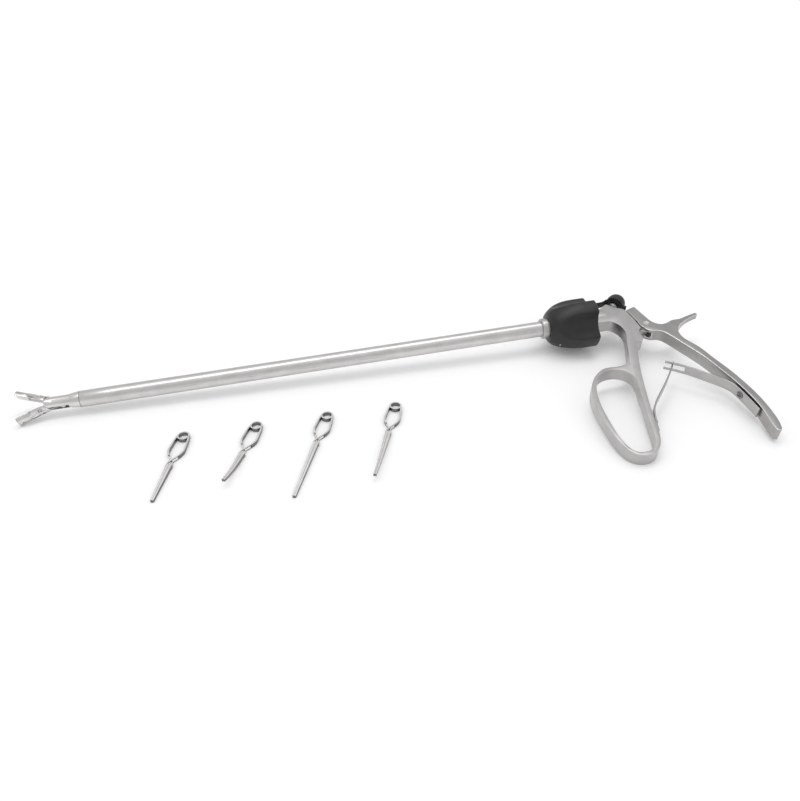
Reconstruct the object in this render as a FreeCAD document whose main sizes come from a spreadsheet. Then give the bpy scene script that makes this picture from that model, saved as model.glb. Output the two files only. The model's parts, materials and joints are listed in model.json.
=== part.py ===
import FreeCAD, Part
import math
import os

import Sketcher

# Laparoscopic bulldog clamp applier with four bulldog clamps, in millimetres.
# The applier has its own frame: x along the shaft towards the hand, with zero at the nose of
# the knob, y in the plane of the handle away from the finger loop, z out of that plane.

os.makedirs("parts", exist_ok=True)
doc = FreeCAD.newDocument("bulldog_applier")
sheet = doc.addObject("Spreadsheet::Sheet", "sizes")

SIZES = (
    # shaft tube and its sealed end
    ("tube_dia", 10.0),
    ("tube_wall", 0.8),
    ("tube_reach", 291.4),
    ("tube_socket", 27.0),
    ("tube_step", 0.2),
    # jaw carrier at the tip
    ("carrier_dia", 8.0),
    ("carrier_nose", 5.2),
    ("carrier_plug", 9.0),
    ("pivot_ahead", 16.1),
    ("jaw_slot", 4.4),
    ("jaw_pin_dia", 1.6),
    ("drive_pin_dia", 1.4),
    # jaws, measured from their pivot
    ("jaw_length", 21.2),
    ("jaw_dia", 7.2),
    ("jaw_block", 7.2),
    ("jaw_open", 20.0),
    ("shaft_turn", 28.0),
    ("jaw_tail", 1.4),
    ("jaw_trough_dia", 4.6),
    ("cam_near", 2.6),
    ("cam_wall", 0.85),
    ("window_length", 5.0),
    ("window_height", 2.5),
    # pull rod and ball
    ("rod_dia", 3.0),
    ("ball_dia", 5.0),
    ("neck_dia", 2.4),
    # turning knob
    ("knob_dia", 34.6),
    ("knob_length", 32.3),
    ("scallop_dia", 28.0),
    ("scallop_floor", 12.4),
    ("scallop_turn", 30.0),
    ("screw_turn", 63.0),
    ("nose_ring_dia", 13.2),
    ("nose_ring_length", 5.5),
    ("set_screw_dia", 3.0),
    # bearing in the handle
    ("spigot_dia", 6.0),
    ("barrel_dia", 11.0),
    ("barrel_length", 8.0),
    ("snap_ring_width", 1.0),
    ("seal_width", 1.6),
    # handle frame
    ("plate", 8.0),
    ("tongue", 3.8),
    ("pivot_x", 63.4),
    ("pivot_drop", 15.0),
    ("pivot_pin_dia", 3.2),
    # squeeze lever
    ("lever_travel", 16.0),
    ("eye_radius", 4.4),
    ("grip_length", 71.6),
    ("spur", 3.6),
    # leaf springs
    ("leaf", 1.0),
    ("leaf_width", 6.4),
    ("leaf_slot", 3.4),
    ("screw_dia", 2.4),
    ("screw_head_dia", 4.6),
    ("screw_head", 1.5),
    # flushing port and cap
    ("port_angle", 43.0),
    ("port_length", 15.0),
    ("port_dia", 5.2),
    ("cap_dia", 12.4),
    ("cap_length", 9.5),
    # bulldog clamps
    ("clamp_strip", 0.9),
    ("clamp_height", 2.4),
    ("coil_dia", 7.2),
    ("shoulder_width", 9.2),
    ("clamp_jaw", 1.5),
    ("clamp_row", 40.7),
    ("clamp_spacing", 41.2),
    ("clamp_start", 232.6),
    # clearances
    ("running", 0.05),
    ("sliding", 0.1),
    ("loose", 0.3),
)
for row, (alias, number) in enumerate(SIZES, start=1):
    sheet.set("A%d" % row, alias)
    sheet.set("B%d" % row, str(number))
    sheet.setAlias("B%d" % row, alias)
doc.recompute()


class Dim:
    """A length with the sheet expression that it follows."""

    def __init__(self, value, text):
        self.value = value
        self.text = text

    def __add__(self, other):
        other = dim(other)
        return Dim(self.value + other.value, "(%s + %s)" % (self.text, other.text))

    def __sub__(self, other):
        other = dim(other)
        return Dim(self.value - other.value, "(%s - %s)" % (self.text, other.text))

    def __rsub__(self, other):
        return dim(other) - self

    def __mul__(self, factor):
        return Dim(self.value * factor, "(%s * %r)" % (self.text, float(factor)))

    def __truediv__(self, factor):
        return Dim(self.value / factor, "(%s / %r)" % (self.text, float(factor)))

    def __neg__(self):
        return self * -1

    __radd__ = __add__
    __rmul__ = __mul__


def dim(length):
    """A plain number as a Dim."""
    if isinstance(length, Dim):
        return length
    return Dim(float(length), "(%r)" % float(length))


def vec(x, y, z=0.0):
    return FreeCAD.Vector(dim(x).value, dim(y).value, dim(z).value)


class Sizes:
    """The sheet's sizes by name."""


size = Sizes()
for alias, number in SIZES:
    setattr(size, alias, Dim(float(sheet.get(alias)), "sizes." + alias))

X_AXIS = FreeCAD.Vector(1, 0, 0)
Y_AXIS = FreeCAD.Vector(0, 1, 0)
Z_AXIS = FreeCAD.Vector(0, 0, 1)
IN_PLANE = FreeCAD.Placement()
ACROSS_X = FreeCAD.Placement(FreeCAD.Vector(), FreeCAD.Rotation(Y_AXIS, Z_AXIS, X_AXIS, "ZXY"))
FROM_SIDE = FreeCAD.Placement(FreeCAD.Vector(), FreeCAD.Rotation(X_AXIS, Z_AXIS, -Y_AXIS, "ZXY"))

nodes = {}


def new_body(label):
    body = doc.addObject("PartDesign::Body", label)
    nodes[label] = body
    return body


def new_sketch(body, place=IN_PLANE):
    """A sketch of the body on a plane given in the body's own frame."""
    sketch = body.newObject("Sketcher::SketchObject", body.Name + "_sketch")
    plane = [item for item in body.Origin.OriginFeatures if item.Role == "XY_Plane"][0]
    sketch.AttachmentSupport = (plane, "")
    sketch.MapMode = "FlatFace"
    sketch.AttachmentOffset = place
    return sketch


def at(place, x=0.0, y=0.0, z=0.0):
    """The same plane moved to a point of the body's frame."""
    return FreeCAD.Placement(vec(x, y, z), place.Rotation)


def fix_point(sketch, geometry, point, x, y):
    """Hold a sketch point at its two distances from the origin."""
    for kind, distance in (("DistanceX", dim(x)), ("DistanceY", dim(y))):
        index = sketch.addConstraint(
            Sketcher.Constraint(kind, -1, 1, geometry, point, distance.value))
        sketch.setExpression("Constraints[%d]" % index, distance.text)


def add_polygon(sketch, points):
    """A closed polygon whose corners follow the sheet."""
    first = sketch.GeometryCount
    count = len(points)
    for i in range(count):
        start = vec(*points[i])
        end = vec(*points[(i + 1) % count])
        sketch.addGeometry(Part.LineSegment(start, end))
    for i in range(count):
        after = first + (i + 1) % count
        sketch.addConstraint(Sketcher.Constraint("Coincident", first + i, 2, after, 1))
    for i, (x, y) in enumerate(points):
        fix_point(sketch, first + i, 1, x, y)


def add_circle(sketch, x, y, radius):
    """A circle whose centre and radius follow the sheet."""
    radius = dim(radius)
    index = sketch.addGeometry(Part.Circle(vec(x, y), Z_AXIS, radius.value))
    fix_point(sketch, index, 3, x, y)
    held = sketch.addConstraint(Sketcher.Constraint("Radius", index, radius.value))
    sketch.setExpression("Constraints[%d]" % held, radius.text)


def add_outline(sketch, *stretches):
    """A closed outline: two points make a line, three an arc, more a smooth curve."""
    for stretch in stretches:
        points = [vec(*point) for point in stretch]
        if len(points) == 2:
            sketch.addGeometry(Part.LineSegment(points[0], points[1]))
        elif len(points) == 3:
            sketch.addGeometry(Part.Arc(points[0], points[1], points[2]))
        else:
            curve = Part.BSplineCurve()
            curve.interpolate(points)
            sketch.addGeometry(curve)


def add_loop(sketch, points):
    """A closed smooth curve through the points."""
    curve = Part.BSplineCurve()
    curve.interpolate(Points=[vec(*point) for point in points], PeriodicFlag=True)
    sketch.addGeometry(curve)


def pad(body, sketch, length, symmetric=False):
    feature = body.newObject("PartDesign::Pad", body.Name + "_pad")
    feature.Profile = sketch
    feature.SideType = "Symmetric" if symmetric else "One side"
    feature.setExpression("Length", dim(length).text)


def pocket(body, sketch, length, symmetric=False, forward=True):
    """Cut along the sketch's normal, or against it."""
    doc.recompute()
    before = body.Shape.copy()
    feature = body.newObject("PartDesign::Pocket", body.Name + "_pocket")
    feature.Profile = sketch
    feature.SideType = "Symmetric" if symmetric else "One side"
    feature.Reversed = forward
    feature.setExpression("Length", dim(length).text)
    doc.recompute()
    removed = before.common(feature.AddSubShape)
    if removed.Volume < 1e-4:
        raise RuntimeError("a cut in %s removes nothing" % body.Label)


def revolve(body, sketch):
    """Turn a profile about the sketch's own horizontal axis."""
    feature = body.newObject("PartDesign::Revolution", body.Name + "_revolution")
    feature.Profile = sketch
    feature.ReferenceAxis = (sketch, ["H_Axis"])
    feature.Angle = 360.0


def turned(label, profile):
    """A turned piece: its profile gives places along the axis and radii."""
    body = new_body(label)
    sketch = new_sketch(body)
    add_polygon(sketch, profile)
    revolve(body, sketch)
    return body


def pin(label, radius, length, middle, rotation):
    """A plain cylinder centred on a point."""
    node = doc.addObject("Part::Cylinder", label)
    node.setExpression("Radius", dim(radius).text)
    node.setExpression("Height", dim(length).text)
    start = middle - rotation.multVec(Z_AXIS) * (dim(length).value / 2)
    node.Placement = FreeCAD.Placement(start, rotation)
    nodes[label] = node


# Shaft tube: open at both ends and turned down where the nose ring and the knob sit on it.
tube_radius = size.tube_dia / 2
tube_bore = tube_radius - size.tube_wall
seat_radius = tube_radius - size.tube_step
nose = 1.5
ring_seat = nose + 1.0
ring_front = ring_seat - size.nose_ring_length
turned("outer_tube", (
    (-size.tube_reach, tube_bore),
    (-size.tube_reach, tube_radius),
    (ring_front, tube_radius),
    (ring_front, seat_radius),
    (size.tube_socket, seat_radius),
    (size.tube_socket, tube_bore),
))

# Jaw carrier: plugs into the tube, tapers down and ends in two ears round the jaw slot.
carrier_radius = size.carrier_dia / 2
rod_radius = size.rod_dia / 2
rod_bore = rod_radius + size.sliding
pivot = -(size.tube_reach + size.pivot_ahead)
ear_front = pivot - carrier_radius
nose_front = -(size.tube_reach + size.carrier_nose)
# The ball swings evenly to both sides of the line square to the shaft through the lever pivot.
half_swing = math.radians(size.lever_travel.value / 2)
rod_travel = 2 * size.pivot_drop.value * math.tan(half_swing)
cam_far = size.cam_near + rod_travel
tail_wall = size.drive_pin_dia / 2 + size.cam_wall
slot_end = pivot + cam_far + tail_wall + 1.3
carrier = new_body("jaw_carrier")
sketch = new_sketch(carrier)
add_polygon(sketch, (
    (ear_front, rod_bore),
    (ear_front, carrier_radius),
    (nose_front, carrier_radius),
    (nose_front, carrier_radius + 0.3),
    (-size.tube_reach, tube_radius),
    (-size.tube_reach, tube_bore),
    (-size.tube_reach + size.carrier_plug, tube_bore),
    (-size.tube_reach + size.carrier_plug, rod_bore),
))
revolve(carrier, sketch)
# The ears are rounded about the jaw pivot, seen from above.
sketch = new_sketch(carrier)
reach = size.carrier_dia
add_outline(
    sketch,
    ((pivot, carrier_radius), (pivot - carrier_radius, 0), (pivot, -carrier_radius)),
    ((pivot, -carrier_radius), (pivot, -reach)),
    ((pivot, -reach), (pivot - reach, -reach)),
    ((pivot - reach, -reach), (pivot - reach, reach)),
    ((pivot - reach, reach), (pivot, reach)),
    ((pivot, reach), (pivot, carrier_radius)),
)
pocket(carrier, sketch, size.carrier_dia * 2, symmetric=True)
# The slot between the ears lets both jaw tails and the flat of the rod pass.
sketch = new_sketch(carrier, at(FROM_SIDE))
add_polygon(sketch, (
    (ear_front - 1, -size.jaw_slot / 2),
    (slot_end, -size.jaw_slot / 2),
    (slot_end, size.jaw_slot / 2),
    (ear_front - 1, size.jaw_slot / 2),
))
pocket(carrier, sketch, size.carrier_dia * 2, symmetric=True)
sketch = new_sketch(carrier)
add_circle(sketch, pivot, 0, size.jaw_pin_dia / 2)
pocket(carrier, sketch, size.carrier_dia * 2, symmetric=True)

# Jaw pivot pin: flush with the round of the two ears.
pin(
    "jaw_pivot_pin", size.jaw_pin_dia / 2, size.carrier_dia - 0.2,
    vec(pivot, 0), FreeCAD.Rotation())


def cam_centre(turn):
    """Where the drive pin crosses the jaw's own frame when the jaw is open by this angle."""
    span = rod_travel / size.jaw_open.value
    distance = cam_far.value - span * turn
    angle = math.radians(turn)
    return distance * math.cos(angle), distance * math.sin(angle)


def cam_side(offset):
    """A line beside the path of the drive pin, offset to one side of it."""
    points = []
    steps = 4
    for step in range(steps + 1):
        turn = size.jaw_open.value * (1 - step / steps)
        x, y = cam_centre(turn)
        ahead = cam_centre(turn - 0.5)
        behind = cam_centre(turn + 0.5)
        run = math.hypot(ahead[0] - behind[0], ahead[1] - behind[1])
        along = ((ahead[0] - behind[0]) / run, (ahead[1] - behind[1]) / run)
        points.append((x - along[1] * offset, y + along[0] * offset, along))
    return points


def cam_outline(half_width):
    """The closed slot that the drive pin runs in, with round ends."""
    left = cam_side(half_width)
    right = cam_side(-half_width)
    near = cam_centre(size.jaw_open.value)
    far = cam_centre(0.0)
    start = left[0][2]
    end = left[-1][2]
    near_tip = (near[0] - start[0] * half_width, near[1] - start[1] * half_width)
    far_tip = (far[0] + end[0] * half_width, far[1] + end[1] * half_width)
    return (
        [point[:2] for point in left],
        (left[-1][:2], far_tip, right[-1][:2]),
        [point[:2] for point in reversed(right)],
        (right[0][:2], near_tip, left[0][:2]),
    )


def jaw(label, flip, turn):
    """One jaw: a half-round trough in front of the pivot and a flat tail with the cam slot."""
    body = new_body(label)
    tip = -size.jaw_length
    ear = carrier_radius + size.loose
    gap = size.running
    radius = size.jaw_dia.value / 2
    # Half-round blade, its flat side on the mating plane.
    sketch = new_sketch(body, at(ACROSS_X, tip.value))
    edge = math.sqrt(radius ** 2 - gap.value ** 2)
    add_outline(
        sketch,
        ((gap, -edge), (radius, 0), (gap, edge)),
        ((gap, edge), (gap, -edge)),
    )
    pad(body, sketch, size.jaw_length - 1)
    sketch = new_sketch(body)
    add_circle(sketch, 0, 0, ear)
    pocket(body, sketch, size.carrier_dia * 2, symmetric=True)
    # Trough for the clamp behind the tip block, and the window and a round hole in its back.
    trough = size.jaw_trough_dia / 2
    sketch = new_sketch(body, at(ACROSS_X, (tip + size.jaw_block).value))
    add_circle(sketch, 0, 0, trough)
    pocket(body, sketch, size.jaw_length - size.jaw_block - ear - 1.4)
    window = size.window_length
    middle = tip + size.jaw_block + window / 2 + 0.8
    sketch = new_sketch(body, at(FROM_SIDE, 0, radius * 2))
    add_polygon(sketch, (
        (middle - window / 2, -size.window_height / 2),
        (middle + window / 2, -size.window_height / 2),
        (middle + window / 2, size.window_height / 2),
        (middle - window / 2, size.window_height / 2),
    ))
    pocket(body, sketch, size.carrier_dia * 2)
    sketch = new_sketch(body, at(FROM_SIDE, 0, radius * 2))
    add_circle(sketch, middle + window / 2 + 1.9, 0, 1.0)
    pocket(body, sketch, size.carrier_dia * 2)
    # Notched tip and cross grooves in the flat of the block that hold a clamp.
    sketch = new_sketch(body, at(FROM_SIDE, 0, radius * 2))
    add_polygon(sketch, (
        (tip - 1, -1.5),
        (tip + 1.8, 0),
        (tip - 1, 1.5),
    ))
    pocket(body, sketch, size.carrier_dia * 2)
    for groove in range(4):
        start = tip + 2.2 + groove * 1.2
        sketch = new_sketch(body)
        add_polygon(sketch, (
            (start, gap - 0.2),
            (start + 0.5, gap - 0.2),
            (start + 0.25, gap + 0.35),
        ))
        pocket(body, sketch, size.carrier_dia * 2, symmetric=True)
    # Tail plate with its pivot eye.
    base = size.jaw_slot / 2 - size.sliding - size.jaw_tail
    wall = tail_wall
    left = cam_side(wall.value)
    right = cam_side(-wall.value)
    far = cam_centre(0.0)
    end = left[-1][2]
    far_tip = (far[0] + end[0] * wall.value, far[1] + end[1] * wall.value)
    root = -ear.value - 1.2
    sketch = new_sketch(body, at(IN_PLANE, 0, 0, base))
    add_outline(
        sketch,
        ((root, gap), (root, 2.6)),
        ((root, 2.6), left[0][:2]),
        [point[:2] for point in left],
        (left[-1][:2], far_tip, right[-1][:2]),
        (right[-1][:2], (0.6, -1.9)),
        ((0.6, -1.9), (-1.4, -1.3), (-1.9, gap)),
        ((-1.9, gap), (root, gap)),
    )
    pad(body, sketch, size.jaw_tail)
    sketch = new_sketch(body)
    add_circle(sketch, 0, 0, size.jaw_pin_dia / 2 + size.running)
    pocket(body, sketch, size.carrier_dia)
    sketch = new_sketch(body)
    add_outline(sketch, *cam_outline(size.drive_pin_dia.value / 2 + size.sliding.value))
    pocket(body, sketch, size.carrier_dia)
    flipped = FreeCAD.Rotation(X_AXIS, flip)
    opened = FreeCAD.Rotation(Z_AXIS, turn)
    body.Placement = FreeCAD.Placement(vec(pivot, 0), opened.multiply(flipped))


jaw("jaw_left", 0.0, -size.jaw_open.value)
jaw("jaw_right", 180.0, size.jaw_open.value)

# Pull rod: a round rod with two flats between the jaw tails, its cross pin in their cam slots.
ball_x = size.pivot_x - rod_travel / 2
rod_front = pivot + size.cam_near - tail_wall
rod_rear = ball_x - 4.7
flats_end = pivot + cam_far + tail_wall + 0.5
flat = size.jaw_slot / 2 - size.sliding * 2 - size.jaw_tail
rod = new_body("pull_rod")
sketch = new_sketch(rod)
add_polygon(sketch, (
    (rod_front, 0),
    (rod_front, rod_radius),
    (rod_rear, rod_radius),
    (rod_rear, 0),
))
revolve(rod, sketch)
for side in (1, -1):
    sketch = new_sketch(rod, at(FROM_SIDE))
    add_polygon(sketch, (
        (rod_front - 1, flat * side),
        (flats_end, flat * side),
        (flats_end, size.rod_dia * side),
        (rod_front - 1, size.rod_dia * side),
    ))
    pocket(rod, sketch, size.rod_dia * 2, symmetric=True)
sketch = new_sketch(rod)
add_circle(sketch, pivot + size.cam_near, 0, size.drive_pin_dia / 2)
pocket(rod, sketch, size.rod_dia * 2, symmetric=True)
pin(
    "rod_drive_pin", size.drive_pin_dia / 2, size.jaw_slot - size.sliding * 2,
    vec(pivot + size.cam_near, 0), FreeCAD.Rotation())

# Ball end: a thin neck and a ball that sits in the head of the lever.
ball_radius = size.ball_dia / 2
neck_radius = size.neck_dia / 2
neck_end = ball_x.value - math.sqrt(ball_radius.value ** 2 - neck_radius.value ** 2)
ball_end = new_body("rod_ball_end")
sketch = new_sketch(ball_end)
add_outline(
    sketch,
    ((rod_rear, 0), (rod_rear, neck_radius)),
    ((rod_rear, neck_radius), (neck_end, neck_radius)),
    (
        (neck_end, neck_radius),
        (ball_x + ball_radius * 0.5, ball_radius * math.sqrt(0.75)),
        (ball_x + ball_radius, 0),
    ),
    ((ball_x + ball_radius, 0), (rod_rear, 0)),
)
revolve(ball_end, sketch)

# Turning knob: a moulded ogive with four finger scallops that run out at its rear rim.
knob_radius = size.knob_dia / 2
ring_radius = size.nose_ring_dia / 2
spigot_radius = size.spigot_dia / 2
widest = nose + 21.5
knob = new_body("turning_knob")
sketch = new_sketch(knob)
add_polygon(sketch, (
    (ring_seat, seat_radius),
    (ring_seat, ring_radius),
    (nose, ring_radius),
    (nose, ring_radius + 1.8),
    (nose + 3.5, knob_radius - 5.5),
    (nose + 7.5, knob_radius - 2.6),
    (nose + 14.0, knob_radius - 0.6),
    (widest, knob_radius),
    (size.knob_length - 1.6, knob_radius),
    (size.knob_length, knob_radius - 1.2),
    (size.knob_length, seat_radius),
))
revolve(knob, sketch)
scallop_radius = size.scallop_dia / 2
scallop_centre = size.scallop_floor + scallop_radius
SCALLOPS = 4
sketch = new_sketch(knob, at(ACROSS_X))
for scallop in range(SCALLOPS):
    angle = math.radians(size.scallop_turn.value + 360.0 * scallop / SCALLOPS)
    add_circle(
        sketch, scallop_centre * -math.sin(angle), scallop_centre * -math.cos(angle),
        scallop_radius)
pocket(knob, sketch, size.knob_length + 1)
# A set screw beside one scallop clamps the knob to the tube.
screw_angle = math.radians(size.screw_turn.value)
screw_way = FreeCAD.Vector(0, -math.sin(screw_angle), -math.cos(screw_angle))
screw_x = nose + 6.5
sketch = new_sketch(knob, FreeCAD.Placement(vec(screw_x, 0), FreeCAD.Rotation(Z_AXIS, screw_way)))
add_circle(sketch, 0, 0, size.set_screw_dia / 2)
pocket(knob, sketch, knob_radius)
screw_length = knob_radius - 3.0 - seat_radius - 0.9
pin(
    "knob_set_screw", size.set_screw_dia / 2, screw_length,
    vec(screw_x, 0) + screw_way * (seat_radius + screw_length / 2 + size.running).value,
    FreeCAD.Rotation(Z_AXIS, screw_way))

# Bright ring on the nose of the knob.
turned("knob_nose_ring", (
    (ring_front, seat_radius),
    (ring_front, ring_radius - 0.6),
    (ring_front + 0.6, ring_radius),
    (ring_seat, ring_radius),
    (ring_seat, seat_radius),
))

# Spigot: carries the shaft in the handle, with grooves for the snap ring and the seal.
barrel_front = size.knob_length + size.loose
snap_x = barrel_front + 2.0
seal_x = barrel_front + 5.6
spigot_end = barrel_front + 9.0
snap_floor = spigot_radius - 0.6
seal_floor = spigot_radius - 0.8
turned("shaft_spigot", (
    (size.tube_socket, rod_bore),
    (size.tube_socket, seat_radius),
    (size.knob_length, seat_radius),
    (size.knob_length, spigot_radius),
    (snap_x, spigot_radius),
    (snap_x, snap_floor),
    (snap_x + size.snap_ring_width + size.sliding, snap_floor),
    (snap_x + size.snap_ring_width + size.sliding, spigot_radius),
    (seal_x, spigot_radius),
    (seal_x, seal_floor),
    (seal_x + size.seal_width, seal_floor),
    (seal_x + size.seal_width, spigot_radius),
    (spigot_end, spigot_radius),
    (spigot_end, rod_bore),
))
turned("shaft_seal", (
    (seal_x, seal_floor),
    (seal_x, spigot_radius + size.running / 2),
    (seal_x + size.seal_width, spigot_radius + size.running / 2),
    (seal_x + size.seal_width, seal_floor),
))
snap_radius = spigot_radius + 0.9
turned("snap_ring", (
    (snap_x + size.running, snap_floor + size.sliding),
    (snap_x + size.running, snap_radius),
    (snap_x + size.running + size.snap_ring_width, snap_radius),
    (snap_x + size.running + size.snap_ring_width, snap_floor + size.sliding),
))


GRIP_TOP = -50.0
GRIP_DRAWN = 71.6


def grip(points):
    """Outline points of the grips, stretched below the neck to the grip's own length."""
    scale = size.grip_length.value / GRIP_DRAWN
    placed = []
    for x, y in points:
        if y < GRIP_TOP:
            y = GRIP_TOP + (y - GRIP_TOP) * scale
        placed.append((x, y))
    return placed


def point_on(points, y):
    """The place and direction of a chain of points where it passes a height."""
    for (x0, y0), (x1, y1) in zip(points, points[1:]):
        if min(y0, y1) <= y <= max(y0, y1):
            share = (y - y0) / (y1 - y0)
            run = math.hypot(x1 - x0, y1 - y0)
            return (x0 + (x1 - x0) * share, y), ((x1 - x0) / run, (y1 - y0) / run)
    raise ValueError("no point at that height")


# Handle frame: a steel plate with the shaft barrel, the port boss, the hinge tongue, the stop
# lobe and the closed finger loop.
plate_front = barrel_front + size.barrel_length
bore_radius = spigot_radius + size.running
chamber_end = spigot_end + 7.5
hinge = vec(size.pivot_x, -size.pivot_drop)
half_plate = size.plate / 2
boss = FreeCAD.Vector(49.15, 7.8, 0)
port_way = FreeCAD.Rotation(Z_AXIS, size.port_angle.value)
boss_edge = port_way.multVec(Y_AXIS) * (size.port_dia.value / 2 + 0.7)
boss_top = boss + boss_edge
boss_low = boss - boss_edge
body_edge = hinge.x - size.eye_radius.value - 1.0
LOOP_REAR = grip((
    (49.6, -31.0), (45.2, -41.0), (40.0, -54.4), (33.8, -74.4), (27.6, -98.0),
    (24.2, -111.0), (19.6, -118.6), (12.5, -121.6), (5.6, -119.2), (1.8, -112.0),
    (0.0, -96.0), (0.9, -75.0), (4.6, -63.6), (11.3, -54.9), (20.0, -50.3),
    (28.0, -50.7), (33.4, -48.9), (37.6, -43.6), (42.2, -32.0), (45.8, -23.0),
    (46.4, -15.5), (44.4, -10.2), (41.3, -7.3),
))
frame = new_body("handle_frame")
sketch = new_sketch(frame)
add_outline(
    sketch,
    ((plate_front, -7.2), (plate_front, 6.7)),
    ((plate_front, 6.7), (42.3, 7.1)),
    ((42.3, 7.1), (44.2, 8.9), (boss_top.x, boss_top.y)),
    ((boss_top.x, boss_top.y), (boss_low.x, boss_low.y)),
    ((boss_low.x, boss_low.y), (54.4, 3.6)),
    ((54.4, 3.6), (55.8, 2.4), (56.2, 0.6)),
    ((56.2, 0.6), (body_edge - 0.2, -8.4)),
    ((body_edge - 0.2, -8.4), (body_edge, -18.6)),
    ((body_edge, -18.6), (56.0, -20.6), (55.0, -24.0)),
    ((55.0, -24.0), (55.0, -27.6)),
    ((55.0, -27.6), (53.0, -30.6), (49.6, -31.0)),
    LOOP_REAR,
    (LOOP_REAR[-1], (plate_front, -7.2)),
)
pad(frame, sketch, size.plate, symmetric=True)
sketch = new_sketch(frame)
add_loop(sketch, grip((
    (20.0, -52.8), (12.6, -56.1), (7.0, -65.0), (3.4, -79.0), (2.4, -95.0), (3.4, -111.0),
    (6.8, -117.8), (12.4, -119.2), (17.6, -117.0), (21.6, -110.0), (24.6, -98.0),
    (27.9, -85.0), (31.4, -70.0), (32.7, -62.0), (29.0, -55.0),
)))
pocket(frame, sketch, size.plate * 2, symmetric=True)
sketch = new_sketch(frame)
add_polygon(sketch, (
    (body_edge - 3, hinge.y - 3.4),
    (hinge.x, hinge.y - 3.4),
    (hinge.x, hinge.y + 3.4),
    (body_edge - 3, hinge.y + 3.4),
))
pad(frame, sketch, size.tongue, symmetric=True)
tongue_radius = size.eye_radius - 0.4
sketch = new_sketch(frame)
add_circle(sketch, hinge.x, hinge.y, tongue_radius)
pad(frame, sketch, size.tongue, symmetric=True)
# The round barrel in front of the plate takes the shaft spigot.
sketch = new_sketch(frame, at(ACROSS_X, barrel_front.value))
add_circle(sketch, 0, 0, size.barrel_dia / 2)
pad(frame, sketch, plate_front - barrel_front + 1)
sketch = new_sketch(frame, at(ACROSS_X, barrel_front.value - 1))
add_circle(sketch, 0, 0, bore_radius)
pocket(frame, sketch, chamber_end - barrel_front + 1)
sketch = new_sketch(frame, at(ACROSS_X, barrel_front.value))
add_circle(sketch, 0, 0, rod_radius + size.sliding * 2)
pocket(frame, sketch, size.pivot_x - barrel_front)
sketch = new_sketch(frame)
add_polygon(sketch, (
    (snap_x, 0),
    (snap_x, snap_radius + size.sliding),
    (snap_x + size.snap_ring_width + size.sliding, snap_radius + size.sliding),
    (snap_x + size.snap_ring_width + size.sliding, 0),
))
groove = frame.newObject("PartDesign::Groove", "snap_groove")
groove.Profile = sketch
groove.ReferenceAxis = (sketch, ["H_Axis"])
groove.Angle = 360.0
sketch = new_sketch(frame)
add_circle(sketch, hinge.x, hinge.y, size.pivot_pin_dia / 2 + size.running)
pocket(frame, sketch, size.plate * 2, symmetric=True)
# The port boss: a seat for the port and a narrow way down to the shaft chamber.
port_turn = FreeCAD.Rotation(Z_AXIS, size.port_angle.value).multiply(ACROSS_X.Rotation)
port_plug = 3.0
port_seat = size.port_dia / 2 - 0.7
sketch = new_sketch(frame, FreeCAD.Placement(boss, port_turn))
add_circle(sketch, 0, 0, port_seat)
pocket(frame, sketch, port_plug, forward=False)
sketch = new_sketch(frame, FreeCAD.Placement(boss, port_turn))
add_circle(sketch, 0, 0, 1.0)
pocket(frame, sketch, 9.0, forward=False)

# Rod seal in the rear of the chamber.
turned("rod_seal", (
    (chamber_end - 3.0, rod_radius + size.running),
    (chamber_end - 3.0, bore_radius),
    (chamber_end, bore_radius),
    (chamber_end, rod_radius + size.running),
))

# Flushing port: a steel stub with a lip and a plain taper.
port_radius = size.port_dia / 2
port = turned("flush_port", (
    (-port_plug, 1.1),
    (-port_plug, port_seat),
    (0, port_seat),
    (0, port_radius + 0.7),
    (1.4, port_radius + 0.7),
    (1.4, port_radius - 0.3),
    (4.6, port_radius - 0.3),
    (4.6, port_radius + 0.4),
    (5.6, port_radius + 0.4),
    (5.6, port_radius),
    (size.port_length, port_radius - 0.4),
    (size.port_length, 1.1),
))
port.Placement = FreeCAD.Placement(boss, port_way)

# Rubber cap over the port, with a pull tab on its rim.
cap_radius = size.cap_dia / 2
cap_bore = port_radius + size.sliding
cap_foot = 7.0
cap_top = cap_foot + size.cap_length
cap_crown = 1.8
cavity_end = size.port_length + size.loose
cap = new_body("flush_cap")
sketch = new_sketch(cap)
add_outline(
    sketch,
    ((cap_foot, cap_bore), (cap_foot, cap_radius)),
    ((cap_foot, cap_radius), (cap_foot + 2.2, cap_radius)),
    (
        (cap_foot + 2.2, cap_radius),
        (cap_foot + 2.2 + (size.cap_length - 2.2) * 0.72, cap_radius * 0.76),
        (cap_top, cap_crown),
    ),
    ((cap_top, cap_crown), (cap_top, 0)),
    ((cap_top, 0), (cavity_end, 0)),
    ((cavity_end, 0), (cavity_end, cap_bore)),
    ((cavity_end, cap_bore), (cap_foot, cap_bore)),
)
revolve(cap, sketch)
sketch = new_sketch(cap, at(ACROSS_X, cap_foot))
add_polygon(sketch, (
    (-cap_radius - 2.0, -2.0),
    (-cap_radius + 1.0, -2.0),
    (-cap_radius + 1.0, 2.0),
    (-cap_radius - 2.0, 2.0),
))
pad(cap, sketch, 1.8)
cap.Placement = FreeCAD.Placement(boss, port_way)

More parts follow.
